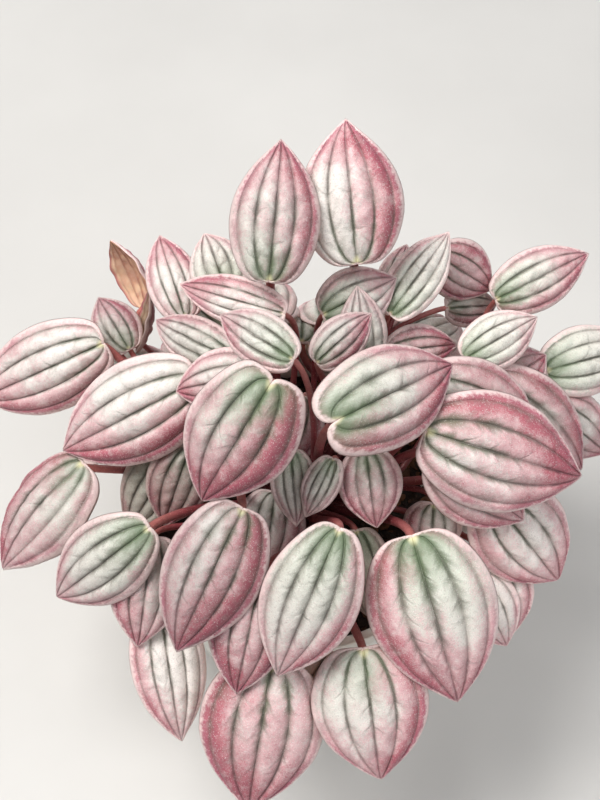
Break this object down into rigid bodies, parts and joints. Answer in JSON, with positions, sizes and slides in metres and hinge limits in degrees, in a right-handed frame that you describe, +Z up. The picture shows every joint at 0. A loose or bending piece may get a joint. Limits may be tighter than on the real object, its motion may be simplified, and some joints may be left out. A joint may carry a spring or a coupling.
{
  "type": "potted peperomia",
  "caption": "Round plastic nursery pot filled with potting soil, holding a dense dome of ribbed silver-pink leaves on fleshy red stalks.",
  "frame": {"origin": "middle of the pot's flat underside", "axes": "+Z up along the pot's axis; -Y towards the side that the picture shows, +X to its right"},
  "size_m": [0.2361, 0.2048, 0.2141],
  "materials": {
    "pot": "satin",
    "soil": "rough",
    "stems": "satin",
    "leaves": "satin"
  },
  "bodies": {
    "root": {"pot": "pot", "soil": "soil", "stems": "stems", "leaf_01": "leaves", "leaf_02": "leaves", "leaf_03": "leaves", "leaf_04": "leaves", "leaf_05": "leaves", "leaf_06": "leaves", "leaf_07": "leaves", "leaf_08": "leaves", "leaf_09": "leaves", "leaf_10": "leaves", "leaf_11": "leaves", "leaf_12": "leaves", "leaf_13": "leaves", "leaf_14": "leaves", "leaf_15": "leaves", "leaf_16": "leaves", "leaf_17": "leaves", "leaf_18": "leaves", "leaf_19": "leaves", "leaf_20": "leaves", "leaf_21": "leaves", "leaf_22": "leaves", "leaf_23": "leaves", "leaf_24": "leaves", "leaf_25": "leaves", "leaf_26": "leaves", "leaf_27": "leaves", "leaf_28": "leaves", "leaf_29": "leaves", "leaf_30": "leaves", "leaf_31": "leaves", "leaf_32": "leaves", "leaf_33": "leaves", "leaf_34": "leaves", "leaf_35": "leaves", "leaf_36": "leaves", "leaf_37": "leaves", "leaf_38": "leaves", "leaf_39": "leaves", "leaf_40": "leaves", "leaf_41": "leaves", "leaf_42": "leaves", "leaf_43": "leaves", "leaf_44": "leaves", "leaf_45": "leaves", "leaf_46": "leaves", "leaf_47": "leaves", "leaf_48": "leaves", "leaf_49": "leaves", "leaf_50": "leaves", "leaf_51": "leaves", "leaf_52": "leaves", "leaf_53": "leaves", "leaf_54": "leaves", "leaf_55": "leaves", "shoot_1": "leaves", "shoot_2": "leaves"}
  },
  "joints": []
}
